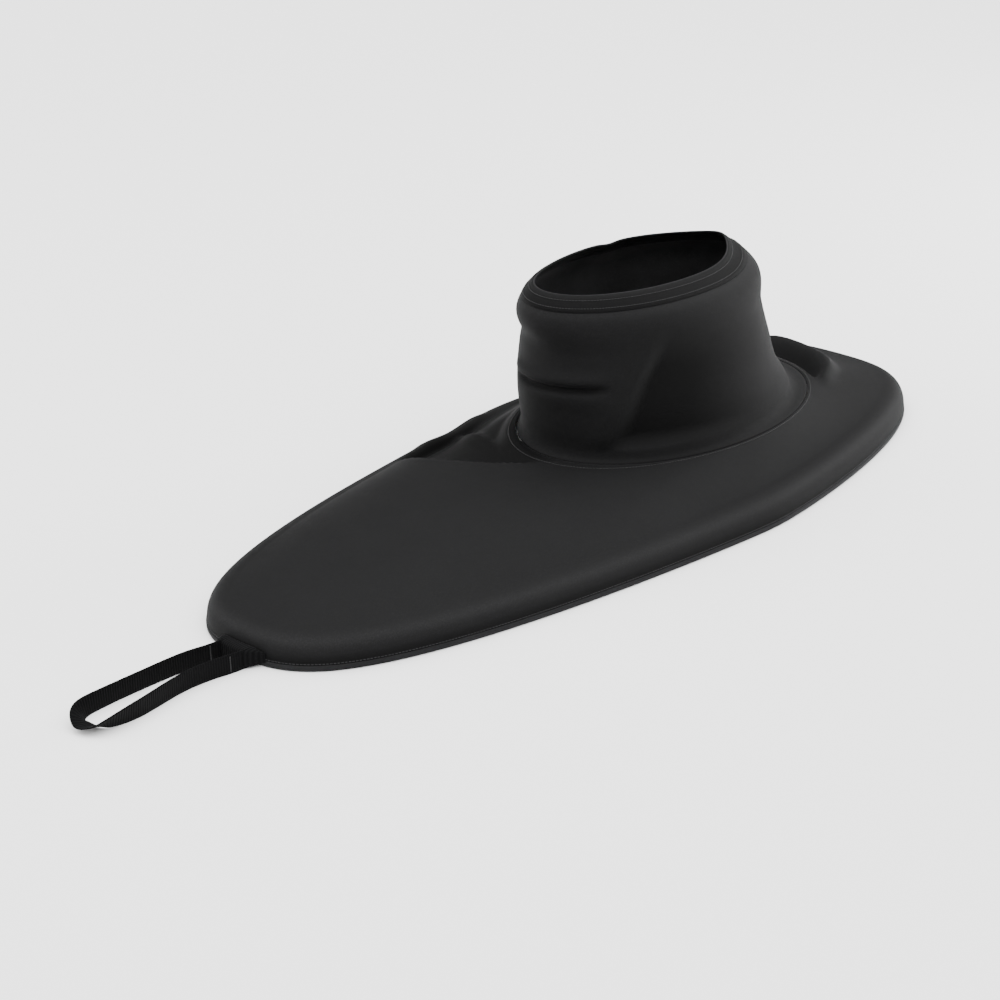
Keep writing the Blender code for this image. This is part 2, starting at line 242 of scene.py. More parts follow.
def tunnel_point(angle, z, out=0.0, folds=1.0):
    """The tunnel's outer face: the oval at height z, with its stern end drawn to a point, and its folds."""
    angle, z, out = np.broadcast_arrays(angle, z, out)
    middle, long, wide, point = np.moveaxis(oval_values(z), -1, 0)
    out = out + folds * tunnel_folds(angle, z)
    stern = np.clip(np.cos(angle), 0.0, 1.0) ** 3
    x = middle + (long + out) * np.cos(angle)
    y = (wide + out) * np.sin(angle) * (1.0 - point * stern)
    lift = rim_wave(angle) * smooth((z - 0.40) / 0.06)
    return np.stack([x, y, z + lift], axis=-1)


def past_crease(x, y):
    """How far a point lies aft of the slanting, slightly curved crease ahead of the tunnel."""
    return 0.80 * (x + 0.003 + 0.83 * y - 1.9 * y ** 2)


def crest_share(degrees):
    """Where the crest beside the stern valley runs, as a share of the way from seam to shoulder."""
    return np.clip(0.69 + 0.27 * (degrees - 6) / 23, 0.25, 1.0)


def stern_sector(angle):
    """The angle in degrees, from -180 to 180, and how much of the stern fold there is at it."""
    degrees = np.degrees(np.mod(angle + np.pi, 2 * np.pi)) - 180
    return degrees, smooth((degrees + 42) / 22) * smooth((54 - degrees) / 26)


def deck_valley_shade(angle, share, x, y):
    """How much painted shade a point gets, 0 to 1: deepest in the valley behind the crease and in the stern
    valley.
    """
    behind = past_crease(x, y)
    ahead = smooth(behind / 0.012) * smooth((0.30 - behind) / 0.20) * smooth((y + 0.065) / 0.10)
    degrees, sector = stern_sector(angle)
    stern = sector * bell((share - crest_share(degrees) + 0.25) / 0.17)
    return np.clip(ahead + stern, 0.0, 1.0)


def deck_folds(angle, share, reach, x, y):
    """Rise and fall of the deck: the crease ahead of the tunnel, the valley aft of it, the stern ridge."""
    aft = past_crease(x, y)
    port = smooth((y + 0.065) / 0.10)
    behind = np.clip(aft, 0.0, None)
    out = -0.024 * port * (1.0 - np.exp(-behind / 0.016)) * smooth((0.36 - behind) / 0.26)
    out += 0.0030 * port * np.exp(-np.abs(np.clip(aft, None, 0.0)) / 0.018) * np.exp(-behind / 0.006)
    fold = x - 0.013 - 0.17 * y - 0.55 * y ** 2
    out += 0.0060 * bell(fold / 0.017) * smooth((y - 0.02) / 0.05)
    out += -0.0035 * bell((fold - 0.040) / 0.026) * smooth((y - 0.05) / 0.08)
    degrees, sector = stern_sector(angle)
    crest = crest_share(degrees)
    out += 0.024 * sector * bell((share - crest) / 0.11)
    out += -0.036 * sector * bell((share - crest + 0.25) / 0.16)
    slow = np.sin(9.0 * x + 4.0 * y) * np.sin(7.0 * y - 3.0 * x + 1.0)
    out += 0.0022 * slow * smooth((0.3 - x) / 0.5)
    return out * smooth((reach - 0.018) / 0.050) * smooth((1.06 - share) / 0.16)


def deck_rows():
    """The deck's outer face, row by row from the tunnel seam over the shoulder to the hem.

    From the seam to the shoulder it is straight in plan. Where it is long it falls as (1 - s)(1 + s/4), a low
    dome, and where it is short as (1 - s)^1.6, a flared brim, plus its folds. The shoulder is a quadratic
    Bezier curve, tangent to the deck and to the upright side band.
    """
    share = np.concatenate([np.linspace(0.0, 0.2, 14)[:-1], np.linspace(0.2, 1.0, 52)])[:, None]
    inner = tunnel_point(AROUND, SEAM_Z, 0.0030, folds=0.0)
    outer = rim_point(SHOULDER_INSET, 0.0)[0]
    flat = inner[None] + (outer - inner)[None] * share[..., None]
    x, y = flat[..., 0], flat[..., 1]
    width = np.linalg.norm(outer[:, :2] - inner[:, :2], axis=1)
    long = smooth((width - 0.10) / 0.35)
    dome = long * (1.0 - share) * (1.0 + 0.25 * share) + (1.0 - long) * (1.0 - share) ** 1.6
    height = SHOULDER_Z + (SEAM_Z - SHOULDER_Z) * dome + deck_folds(AROUND[None], share, share * width, x, y)
    top = np.stack([x, y, height], axis=-1)
    corner = SHOULDER_Z - long * 1.25 * (SEAM_Z - SHOULDER_Z) / width * SHOULDER_INSET
    t = np.linspace(0.0, 1.0, SHOULDER_ROWS + 1)[1:, None]
    inset = SHOULDER_INSET * (1.0 - t) ** 2
    fall = SHOULDER_Z * (1.0 - t) ** 2 + 2.0 * corner * t * (1.0 - t) + BAND_TOP_Z * t ** 2
    band = np.linspace(BAND_TOP_Z, HEM_TOP_Z, BAND_ROWS + 1)[1:, None] + 0.0 * RIM_X
    side_inset = np.concatenate([inset + 0.0 * RIM_X, 0.0 * band])
    side_z = np.concatenate([fall, band])
    waved = smooth((RIM_X + 0.02) / 0.05) * smooth((0.26 - RIM_X) / 0.06)
    ripple = 0.0030 * np.sin(34.0 * RIM_X + 0.6) * waved
    side_z = side_z + ripple * (RIM_Y > 0) * smooth((side_z - 0.025) / 0.024)
    side = np.stack([RIM_X + side_inset * IN_X, RIM_Y + side_inset * IN_Y, side_z], axis=-1)
    return np.concatenate([top, side])


# ---------------------------------------------------------------- meshes

def mesh_piece(name, points, quads, finish):
    """A mesh object at the origin from an array of points and an array of four-cornered faces."""
    mesh = bpy.data.meshes.new(name)
    mesh.vertices.add(len(points))
    mesh.vertices.foreach_set("co", np.ascontiguousarray(points, np.float32).ravel())
    mesh.loops.add(quads.size)
    mesh.loops.foreach_set("vertex_index", np.ascontiguousarray(quads, np.int32).ravel())
    mesh.polygons.add(len(quads))
    mesh.polygons.foreach_set("loop_start", np.arange(len(quads), dtype=np.int32) * 4)
    mesh.update(calc_edges=True)
    mesh.polygons.foreach_set("use_smooth", np.ones(len(quads), bool))
    mesh.materials.append(finish)
    piece = bpy.data.objects.new(name, mesh)
    bpy.context.collection.objects.link(piece)
    return piece


def point_values(piece, name, values):
    """Store one number per point for a material to read."""
    layer = piece.data.attributes.new(name, "FLOAT", "POINT")
    layer.data.foreach_set("value", np.ascontiguousarray(values, np.float32).ravel())


def corner_uv(piece, u, v):
    """Give a mesh a UV map, in metres, from one u and one v per face corner."""
    layer = piece.data.uv_layers.new(name="cloth")
    layer.data.foreach_set("uv", np.stack([u, v], axis=-1).astype(np.float32).ravel())


def grid_quads(rows, columns, closed_rows, closed_columns):
    """Corner numbers of the faces of a grid that may close on itself either way."""
    i = np.arange(rows if closed_rows else rows - 1)
    j = np.arange(columns if closed_columns else columns - 1)
    i, j = np.meshgrid(i, j, indexing="ij")
    i2, j2 = (i + 1) % rows, (j + 1) % columns
    corners = [i * columns + j, i * columns + j2, i2 * columns + j2, i2 * columns + j]
    return np.stack(corners, axis=-1).reshape(-1, 4)


def outward(points, quads):
    """The faces, turned round if the closed shape's signed volume is negative."""
    a, b, c, d = (points[quads[:, k]] for k in range(4))
    volume = np.einsum("ij,ij->", a, np.cross(b, c)) + np.einsum("ij,ij->", a, np.cross(c, d))
    return quads if volume > 0 else quads[:, ::-1]


def grid_normals(rows):
    """Unit normals of a grid that closes round its stations: the cross product of its two directions."""
    around = np.roll(rows, -1, axis=1) - np.roll(rows, 1, axis=1)
    across = np.gradient(rows, axis=0)
    normal = np.cross(around, across)
    return normal / np.maximum(np.linalg.norm(normal, axis=-1), 1e-12)[..., None]


def cloth_ring(name, rows, thickness, finish, inwards):
    """A cloth that closes round its stations: its face, that face moved by its thickness, and both edges.

    inwards is 1 or -1, whichever turns the grid's normals to the inside. The inside has the lining's finish.
    """
    inner = rows + grid_normals(rows) * thickness * inwards
    section = np.concatenate([rows, inner[::-1]])
    points = section.reshape(-1, 3)
    quads = grid_quads(section.shape[0], section.shape[1], True, True)
    piece = mesh_piece(name, points, outward(points, quads), finish)
    piece.data.materials.append(LINING_FINISH)
    inside = np.repeat(np.arange(len(section)) >= len(rows) - 1, section.shape[1]).astype(np.int32)
    piece.data.polygons.foreach_set("material_index", inside)
    return piece


def swept_ring(name, section, finish):
    """A ring whose cross-section's corners are the rows of the array, closed both ways."""
    points = section.reshape(-1, 3)
    quads = grid_quads(section.shape[0], section.shape[1], True, True)
    return mesh_piece(name, points, outward(points, quads), finish)


def swept_strip(name, section, finish):
    """A strip with two ends: corners along one face and back along the other, ends closed by quads."""
    rows, columns = section.shape[:2]
    points = section.reshape(-1, 3)
    quads = grid_quads(rows, columns, True, False)
    k = np.arange(rows // 2 - 1)
    cap = np.stack([k, k + 1, rows - 2 - k, rows - 1 - k], axis=-1) * columns
    quads = np.concatenate([quads, cap, cap[:, ::-1] + columns - 1])
    return mesh_piece(name, points, outward(points, quads), finish)


def stitches(name, line, up, pitch, length, radius, finish, closed=True):
    """A row of separate stitches: small six-sided beads laid along a line, half sunk into the cloth.

    line and up are the row's points and the cloth's normals there. Each bead runs along the line.
    """
    if closed:
        line = np.vstack([line, line[:1]])
        up = np.vstack([up, up[:1]])
    run = np.concatenate([[0.0], np.cumsum(np.linalg.norm(np.diff(line, axis=0), axis=1))])
    count = int(run[-1] / pitch)
    at = (np.arange(count) + 0.5) * run[-1] / count
    centre = np.stack([np.interp(at, run, line[:, k]) for k in range(3)], axis=-1)
    ahead = np.stack([np.interp(at + 0.002, run, line[:, k]) for k in range(3)], axis=-1)
    behind = np.stack([np.interp(at - 0.002, run, line[:, k]) for k in range(3)], axis=-1)
    along = ahead - behind
    along /= np.linalg.norm(along, axis=1)[:, None]
    lift = np.stack([np.interp(at, run, up[:, k]) for k in range(3)], axis=-1)
    lift -= along * np.einsum("ij,ij->i", lift, along)[:, None]
    lift /= np.linalg.norm(lift, axis=1)[:, None]
    side = np.cross(along, lift)
    spin = np.arange(6) * np.pi / 3
    reach = np.array([-1.0, -0.72, 0.72, 1.0]) * length / 2
    girth = np.array([0.35, 1.0, 1.0, 0.35]) * radius
    bead = (centre[:, None, None] + along[:, None, None] * reach[None, :, None, None]
            + (side[:, None, None] * np.cos(spin)[None, None, :, None]
               + lift[:, None, None] * np.sin(spin)[None, None, :, None]) * girth[None, :, None, None])
    bead = bead.reshape(count, 24, 3)
    body = grid_quads(4, 6, False, True)
    ends = np.array([(0, 1, 2, 3), (0, 3, 4, 5), (21, 20, 19, 18), (23, 22, 21, 18)])
    one = np.concatenate([outward(bead[0], body), ends])
    facing = np.cross(bead[0][one[:, 1]] - bead[0][one[:, 0]], bead[0][one[:, 2]] - bead[0][one[:, 0]])
    away = bead[0][one].mean(axis=1) - bead[0].mean(axis=0)
    flip = np.einsum("ij,ij->i", facing, away) < 0
    one[flip] = one[flip][:, ::-1]
    quads = (one[None] + 24 * np.arange(count)[:, None, None]).reshape(-1, 4)
    return mesh_piece(name, bead.reshape(-1, 3), quads, finish)


# ---------------------------------------------------------------- finishes

def new_finish(name):
    """An empty node material with its Principled shader, output and coordinates."""
    mat = bpy.data.materials.new(name)
    mat.use_nodes = True
    nodes = mat.node_tree.nodes
    shader = nodes["Principled BSDF"]
    coords = nodes.new("ShaderNodeTexCoord")
    return mat, nodes, mat.node_tree.links, shader, coords


def shade(colour, share, lift=0.0):
    """The colour times share, plus lift, with an alpha of 1."""
    return (*[c * share + lift for c in colour], 1.0)


def noise(nodes, links, coords, scale, detail=2.0, roughness=0.5):
    """A noise in the piece's own coordinates."""
    node = nodes.new("ShaderNodeTexNoise")
    node.inputs["Scale"].default_value = scale
    node.inputs["Detail"].default_value = detail
    node.inputs["Roughness"].default_value = roughness
    links.new(coords.outputs["Object"], node.inputs["Vector"])
    return node.outputs["Fac"]


def ramp(nodes, links, value, low, high, low_at=0.0, high_at=1.0):
    """The colour low, running to high as the value goes from low_at to high_at."""
    node = nodes.new("ShaderNodeValToRGB")
    first, last = node.color_ramp.elements
    first.position, last.position = low_at, high_at
    first.color, last.color = low, high
    links.new(value, node.inputs["Fac"])
    return node.outputs["Color"]


def tinted(nodes, links, factor, under, colour):
    """What is under, mixed towards one colour by the factor."""
    node = nodes.new("ShaderNodeMix")
    node.data_type = "RGBA"
    node.inputs["B"].default_value = colour
    links.new(factor, node.inputs["Factor"])
    links.new(under, node.inputs["A"])
    return node.outputs["Result"]


def stored(nodes, name):
    """A value that point_values has stored on the piece."""
    node = nodes.new("ShaderNodeAttribute")
    node.attribute_name = name
    return node.outputs["Fac"]


def relief(nodes, links, height, strength, distance, under=None):
    """A bump of the given height, on top of the bump under it if there is one."""
    node = nodes.new("ShaderNodeBump")
    node.inputs["Strength"].default_value = strength
    node.inputs["Distance"].default_value = distance
    links.new(height, node.inputs["Height"])
    if under:
        links.new(under, node.inputs["Normal"])
    return node.outputs["Normal"]


def cloth_finish(name, colour, sheen, roughness, knit=1400.0, mottled=0.35, worn=0.0):
    """Knit-faced neoprene: a fine knit in the bump, slow mottling in the colour, paler wear on its edges.

    Where the stored shade value is high, in folds, hollows and down the low side band, the colour is darkened
    to 0.22 of its tone: painted shade.
    """
    mat, nodes, links, shader, coords = new_finish(name)
    slow = noise(nodes, links, coords, 9.0, 6.0, 0.65)
    tone = ramp(nodes, links, slow, shade(colour, 1.0 - mottled), shade(colour, 1.0 + mottled), 0.30, 0.72)
    lint = noise(nodes, links, coords, 420.0, 3.0)
    specks = nodes.new("ShaderNodeMapRange")
    specks.inputs["From Min"].default_value = 0.50
    specks.inputs["From Max"].default_value = 0.78
    specks.inputs["To Min"].default_value = 0.0
    specks.inputs["To Max"].default_value = 0.35
    links.new(lint, specks.inputs["Value"])
    dusty = tinted(nodes, links, specks.outputs["Result"], tone, shade(colour, 1.9, 0.004))
    # painted shade: the colour is darkened where the stored shade value is high
    last = tinted(nodes, links, stored(nodes, "painted_shade"), dusty, shade(colour, 0.22))
    if worn:
        rub = nodes.new("ShaderNodeMath")
        rub.operation = "MULTIPLY"
        rub.inputs[1].default_value = worn
        links.new(stored(nodes, "wear"), rub.inputs[0])
        patchy = nodes.new("ShaderNodeMath")
        patchy.operation = "MULTIPLY"
        links.new(rub.outputs["Value"], patchy.inputs[0])
        links.new(lint, patchy.inputs[1])
        last = tinted(nodes, links, patchy.outputs["Value"], last, shade(colour, 2.5, 0.012))
    links.new(last, shader.inputs["Base Color"])
    loops = nodes.new("ShaderNodeTexVoronoi")
    loops.inputs["Scale"].default_value = knit
    links.new(coords.outputs["Object"], loops.inputs["Vector"])
    fine = relief(nodes, links, loops.outputs["Distance"], 0.35, 0.0003)
    soft = noise(nodes, links, coords, 55.0, 5.0)
    links.new(relief(nodes, links, soft, 0.25, 0.0012, fine), shader.inputs["Normal"])
    shader.inputs["Roughness"].default_value = roughness
    shader.inputs["Specular IOR Level"].default_value = 0.08
    shader.inputs["Sheen Weight"].default_value = sheen
    shader.inputs["Sheen Roughness"].default_value = 0.35
    shader.inputs["Sheen Tint"].default_value = (0.75, 0.75, 0.78, 1.0)
    return mat


def webbing_finish():
    """Woven webbing: ribs across the strap, laid out in the strap's own UV, in metres."""
    mat, nodes, links, shader, coords = new_finish("ribbed_webbing")
    ribs = nodes.new("ShaderNodeTexWave")
    ribs.wave_type = "BANDS"
    ribs.bands_direction = "X"
    ribs.inputs["Scale"].default_value = 62.0
    ribs.inputs["Distortion"].default_value = 0.5
    ribs.inputs["Detail"].default_value = 1.0
    links.new(coords.outputs["UV"], ribs.inputs["Vector"])
    tone = ramp(nodes, links, ribs.outputs["Fac"], shade(WEBBING, 0.70), shade(WEBBING, 1.40), 0.15, 0.85)
    links.new(tone, shader.inputs["Base Color"])
    yarn = noise(nodes, links, coords, 900.0)
    fine = relief(nodes, links, yarn, 0.4, 0.0004)
    links.new(relief(nodes, links, ribs.outputs["Fac"], 0.8, 0.0008, fine), shader.inputs["Normal"])
    shader.inputs["Roughness"].default_value = 0.75
    shader.inputs["Specular IOR Level"].default_value = 0.04
    shader.inputs["Sheen Weight"].default_value = 0.01
    return mat


def thread_finish(name, colour):
    """Twisted thread: a fine noise in the colour and the bump."""
    mat, nodes, links, shader, coords = new_finish(name)
    twist = noise(nodes, links, coords, 1600.0, 1.0)
    tone = ramp(nodes, links, twist, shade(colour, 0.6), shade(colour, 1.5))
    links.new(tone, shader.inputs["Base Color"])
    links.new(relief(nodes, links, twist, 0.5, 0.0002), shader.inputs["Normal"])
    shader.inputs["Roughness"].default_value = 0.6
    shader.inputs["Specular IOR Level"].default_value = 0.2
    shader.inputs["Sheen Weight"].default_value = 0.03
    return mat


NEOPRENE_FINISH = cloth_finish("black_neoprene", NEOPRENE, 0.013, 0.75, mottled=0.07, worn=0.5)
LINING_FINISH = cloth_finish("neoprene_inside", LINING, 0.04, 0.85, mottled=0.25)
BINDING_FINISH = cloth_finish("edge_binding", BINDING, 0.06, 0.70, knit=900.0, mottled=0.2)
PATCH_FINISH = cloth_finish("patch_cloth", NEOPRENE, 0.10, 0.90, knit=700.0)
TAPE_FINISH = cloth_finish("seam_tape", TAPE, 0.05, 0.55, knit=2200.0, mottled=0.15)
RUBBER_FINISH = cloth_finish("elastic_cover", RUBBER, 0.05, 0.60, knit=1800.0, mottled=0.2)
HEM_FINISH = cloth_finish("hem_cloth", HEM, 0.008, 0.80, mottled=0.1, worn=0.4)
WEBBING_FINISH = webbing_finish()
THREAD_FINISH = thread_finish("grey_thread", THREAD)
DARK_THREAD_FINISH = thread_finish("dark_thread", DARK_THREAD)


# ---------------------------------------------------------------- deck and rim

def build_deck():
    """The deck with its turned-down side band, one cloth from the tunnel seam to the hem."""
    rows = deck_rows()
    deck = cloth_ring("deck_cloth", rows, SHEET, NEOPRENE_FINISH, 1.0)
    z = rows[..., 2]
    edge = bell((np.arange(len(rows))[:, None] - (len(rows) - WORN_ROW)) / 3.0) + 0.0 * z
    point_values(deck, "wear", np.concatenate([edge, 0.0 * edge]))
    inner, outer = rows[0], rows[-SHOULDER_ROWS - BAND_ROWS - 1]
    share = np.linalg.norm((rows - inner)[..., :2], axis=-1) / np.linalg.norm((outer - inner)[:, :2], axis=-1)
    # painted shade: the deck's colour is darkened in its valleys and down the side band below 0.034 m
    painted_shade = deck_valley_shade(AROUND[None], share, rows[..., 0], rows[..., 1]) * smooth((1.10 - share) / 0.12)
    below = smooth((0.034 - z) / 0.014)
    point_values(deck, "painted_shade", np.concatenate([np.clip(painted_shade + 0.8 * below, 0.0, 1.0), 0.0 * painted_shade]))
    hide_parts("deck_panel", "rim_side_band")
    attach(deck, "root")
    up = grid_normals(rows)
    up *= np.sign(up[:3, :, 2].mean())
    seam = stitches("deck_seam_thread", rows[2] + 0.0004 * up[2], up[2], 0.0065, 0.0050, 0.0010,
                    THREAD_FINISH)
    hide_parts("deck_seam_stitch")
    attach(seam, "root")
    level = rim_point(-0.0002, 0.0150)[0]
    away = -np.stack([IN_X, IN_Y, 0.0 * IN_X], axis=-1)
    band = stitches("rim_thread", level, away, 0.0065, 0.0048, 0.0008, DARK_THREAD_FINISH)
    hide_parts("rim_seam_stitch")
    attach(band, "root")
    build_deck_lining(rows, up)
    return deck


def build_deck_lining(rows, up):
    """The tape glued under the seam and the patch under the nose, one cloth's thickness below the deck."""
    near = rows[TAPE_ROWS] - up[TAPE_ROWS] * (SHEET + 0.0006)
    far = rows[TAPE_ROWS] - up[TAPE_ROWS] * (SHEET + 0.0018)
    tape = swept_ring("deck_tape", np.concatenate([near, far[::-1]]), TAPE_FINISH)
    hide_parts("deck_seam_tape")
    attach(tape, "root")
    nose = np.abs(RIM_Y) < 0.16
    nose &= RIM_X < 0.0
    near = (rows[PATCH_ROWS] - up[PATCH_ROWS] * (SHEET + 0.0008))[:, nose]
    far = (rows[PATCH_ROWS] - up[PATCH_ROWS] * (SHEET + 0.0030))[:, nose]
    patch = swept_strip("nose_patch", np.concatenate([near, far[::-1]]), PATCH_FINISH)
    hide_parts("nose_reinforcement")
    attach(patch, "root")


def build_hem():
    """The folded hem, an open channel with rounded corners, and the elastic cord inside it."""
    section = np.array([
        (-0.0010, 0.0122), (-0.0018, 0.0095), (-0.0018, 0.0045), (-0.0004, 0.0012), (0.0026, 0.0),
        (0.0140, 0.0), (0.0166, 0.0010), (0.0175, 0.0036), (0.0175, 0.0160), (0.0145, 0.0160),
        (0.0145, 0.0046), (0.0132, 0.0033), (0.0044, 0.0033), (0.0031, 0.0046), (0.0031, 0.0122),
    ])
    hem = swept_ring("rim_hem_cloth", rim_point(section[:, 0], section[:, 1]), BINDING_FINISH)
    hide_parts("rim_hem_fold")
    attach(hem, "root")
    spin = np.arange(10) * np.pi / 5
    circle = rim_point(0.0090 + 0.0040 * np.cos(spin), 0.0080 + 0.0040 * np.sin(spin))
    cord = swept_ring("rim_elastic", circle, RUBBER_FINISH)
    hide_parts("rim_elastic_cord")
    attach(cord, "root")
    return hem


# ---------------------------------------------------------------- tunnel

def build_tunnel():
    """The tunnel wall, one cloth from the deck seam to the hem."""
    angle = np.arange(STATIONS) * 2 * np.pi / STATIONS
    share = np.linspace(0.0, 1.0, 84)
    z = (SEAM_Z - 0.0005) + (WALL_TOP_Z - SEAM_Z) * share ** 1.25
    rows = tunnel_point(angle[None], z[:, None])
    foot = rows[:1].copy()
    foot[..., 2] -= FOOT_TUCK
    rows = np.concatenate([foot, rows])
    wall = cloth_ring("tunnel_cloth", rows, SHEET, NEOPRENE_FINISH, -1.0)
    wear = bell((rows[..., 2] - 0.436) / 0.010) * 0.6
    point_values(wall, "wear", np.concatenate([wear, 0.0 * wear]))
    # painted shade: the wall's colour is darkened in the hollow, along the crease and on the starboard bow
    # face below the hem
    painted_shade = 0.85 * tunnel_hollow(angle[None], rows[..., 2]) + 0.9 * crease_line(angle[None], rows[..., 2])
    degrees = np.degrees(angle)[None]
    painted_shade = painted_shade + 0.35 * bell((degrees - 248) / 28) * smooth((0.430 - rows[..., 2]) / 0.05)
    point_values(wall, "painted_shade", np.concatenate([np.clip(painted_shade, 0.0, 1.0), 0.0 * painted_shade]))
    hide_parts("tunnel_collar", "tunnel_port_panel", "tunnel_starboard_panel")
    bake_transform(wall)
    build_tunnel_tapes()
    build_tunnel_hem(angle)
    return wall


def build_tunnel_tapes():
    """Seam tapes on the inside of the wall, at its bow and stern ends."""
    z = np.linspace(0.150, 0.436, 30)
    for name, node, middle in (("rear_tape", "tunnel_rear_seam_tape", 0.0),
                               ("front_tape", "tunnel_front_seam_tape", np.pi)):
        spread = middle + np.linspace(-0.055, 0.055, 7)
        near = tunnel_point(spread[:, None], z[None], -SHEET - 0.0006)
        far = tunnel_point(spread[:, None], z[None], -SHEET - 0.0018)
        tape = swept_strip(name, np.concatenate([near, far[::-1]]), TAPE_FINISH)
        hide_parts(node)
        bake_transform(tape)


def hem_section(angle, corners):
    """Rows round the tunnel's rim, each at a height and a distance out from the oval there."""
    return np.stack([tunnel_point(angle, np.full(angle.shape, z), out) for z, out in corners])


def build_tunnel_hem(angle):
    """The folded hem round the opening, its paler inner edge and its two rows of stitches."""
    corners = [
        (0.4405, 0.0003), (0.4410, 0.0013), (0.4460, 0.0017), (0.4520, 0.0018), (0.4600, 0.0016),
        (0.4650, 0.0004), (0.4672, -0.0018), (0.4678, -0.0040), (0.4660, -0.0064), (0.4600, -0.0074),
        (0.4500, -0.0070), (0.4400, -0.0066), (0.4400, -0.0046), (0.4452, -0.0042), (0.4452, 0.0003),
    ]
    hem = swept_ring("tunnel_hem_cloth", hem_section(angle, corners), HEM_FINISH)
    wear = np.array([0.2, 0.3, 0.3, 0.3, 0.5, 1.0, 1.0, 0.8, 0.3, 0.0, 0.0, 0.0, 0.0, 0.0, 0.0])
    point_values(hem, "wear", np.repeat(wear, len(angle)))
    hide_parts("tunnel_hem_band")
    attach(hem, "tunnel")
    edge = [(0.4674, -0.0036), (0.4686, -0.0042), (0.4686, -0.0064), (0.4670, -0.0074), (0.4650, -0.0074),
            (0.4660, -0.0060)]
    binding = swept_ring("tunnel_binding", hem_section(angle, edge), BINDING_FINISH)
    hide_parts("tunnel_rim_binding")
    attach(binding, "tunnel")
    for name, node, z in (("hem_thread_lower", "hem_stitch_lower", 0.4480),
                          ("hem_thread_upper", "hem_stitch_upper", 0.4610)):
        line = tunnel_point(angle, np.full(angle.shape, z), 0.0019)
        up = np.stack([np.cos(angle), np.sin(angle), 0.6 + 0.0 * angle], axis=-1)
        row = stitches(name, line, up, 0.0060, 0.0045, 0.0007, THREAD_FINISH)
        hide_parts(node)
        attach(row, "tunnel")


# ---------------------------------------------------------------- grab loop

# the webbing's middle line and its lean from upright, in degrees: x, y, z, lean
STRAP = np.array([
    (-0.7900, 0.012, 0.0190, 0), (-0.8060, 0.014, 0.0190, 0), (-0.8300, 0.017, 0.0190, 2),
    (-0.8850, 0.026, 0.0195, 3), (-0.9700, 0.029, 0.0195, 0), (-1.0450, 0.029, 0.0195, 2),
    (-1.0880, 0.027, 0.0185, 10), (-1.1080, 0.016, 0.0150, 40), (-1.1140, -0.004, 0.0080, 76),
    (-1.1080, -0.026, 0.0105, 64), (-1.0840, -0.041, 0.0170, 30), (-1.0260, -0.043, 0.0190, 6),
    (-0.9290, -0.030, 0.0195, 0), (-0.8700, -0.032, 0.0195, -2), (-0.8300, -0.039, 0.0190, -2),
    (-0.8060, -0.043, 0.0190, 0), (-0.7900, -0.045, 0.0190, 0),
])
STRAP_WIDTH = 0.0370
STRAP_THICKNESS = 0.0022
# the side that the two root tacks' thread lies on, as a direction in plan
TACK_SIDE = (-0.74, -0.67)

# the anchor's two ends along Y, how far it reaches along X, and the middle of its height
ANCHOR_STARBOARD = -0.068
ANCHOR_PORT = 0.040
ANCHOR_TIP_X = -0.8060
ANCHOR_EDGE = 0.0030
ANCHOR_MIDDLE_Z = 0.0190


def strap_frame(count):
    """Points along the strap, its width direction and its outer face's normal."""
    path = through(STRAP, count)
    line = path[:, :3]
    along = np.gradient(line, axis=0)
    along /= np.linalg.norm(along, axis=1)[:, None]
    flat = np.stack([-along[:, 1], along[:, 0], 0.0 * along[:, 0]], axis=-1)
    flat = -flat / np.linalg.norm(flat, axis=1)[:, None]
    lean = np.radians(path[:, 3])[:, None]
    width = np.cos(lean) * np.array([0.0, 0.0, 1.0]) + np.sin(lean) * flat
    width -= along * np.einsum("ij,ij->i", width, along)[:, None]
    width /= np.linalg.norm(width, axis=1)[:, None]
    return line, width, np.cross(along, width)


def build_strap():
    """The grab loop: one length of webbing on edge, laid over and folded round at its tip."""
    line, width, face = strap_frame(240)
    run = np.concatenate([[0.0], np.cumsum(np.linalg.norm(np.diff(line, axis=0), axis=1))])
    across = np.linspace(-0.5, 0.5, 9)
    puff = 1.0 - 0.35 * (2 * across) ** 6
    half = STRAP_THICKNESS / 2
    middle = line[None] + width[None] * (across * STRAP_WIDTH)[:, None, None]
    out = face[None] * (half * puff)[:, None, None]
    section = np.concatenate([middle + out, (middle - out)[::-1]])
    strap = swept_strip("grab_strap", section, WEBBING_FINISH)
    corner = np.zeros(len(strap.data.loops), np.int32)
    strap.data.loops.foreach_get("vertex_index", corner)
    row, column = corner // len(line), corner % len(line)
    v = np.concatenate([across, across[::-1]])[row] * STRAP_WIDTH
    corner_uv(strap, run[column], v)
    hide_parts("grab_webbing")
    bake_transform(strap)
    for name, node, at in (("bar_tack_port", "loop_bar_tack_port", 28),
                           ("bar_tack_starboard", "loop_bar_tack_starboard", 210),
                           ("tip_tack", "loop_tip_tack", 126)):
        where = line[at] + np.linspace(-0.40, 0.40, 12)[:, None] * STRAP_WIDTH * width[at]
        outer = face[at]
        if outer[0] * TACK_SIDE[0] + outer[1] * TACK_SIDE[1] < 0 and name != "tip_tack":
            outer = -outer
        where = where + outer * half
        tack = stitches(name, where, np.repeat(outer[None], 12, axis=0), 0.0024, 0.0030, 0.0013,
                        THREAD_FINISH, closed=False)
        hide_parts(node)
        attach(tack, "grab_loop")
    return strap


